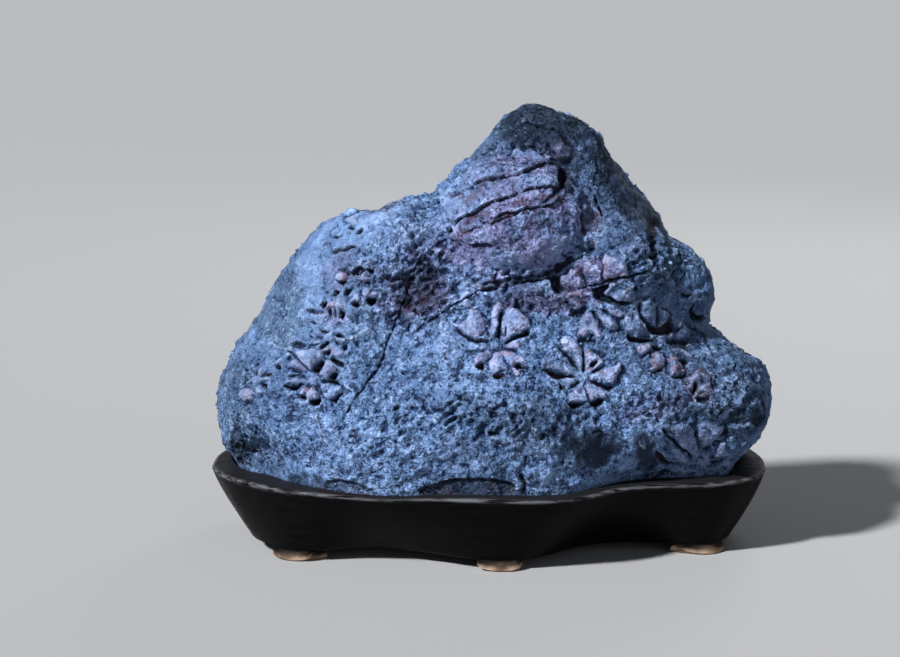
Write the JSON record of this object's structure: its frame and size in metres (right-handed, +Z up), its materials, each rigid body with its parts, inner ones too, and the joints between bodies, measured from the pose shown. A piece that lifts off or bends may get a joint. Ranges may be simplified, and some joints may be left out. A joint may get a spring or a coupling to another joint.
{
  "type": "chrysanthemum stone on a carved wooden stand",
  "caption": "Mountain-shaped natural viewing stone with chrysanthemum flower figures in relief, resting in a low lobed carved wooden stand on crescent feet",
  "frame": {"origin": "on the table, under the middle of the bounding box", "axes": "+X to the right along the length, +Y to the back, +Z up; the flowered face looks along -Y"},
  "size_m": [0.2818, 0.1517, 0.2176],
  "materials": {
    "stone": "rough weathered blue-grey stone with paler petals",
    "stand_wood": "satin dark stained wood, worn paler at the rim and feet"
  },
  "bodies": {
    "root": {"stone": "stone", "stand": "stand_wood"}
  },
  "joints": []
}
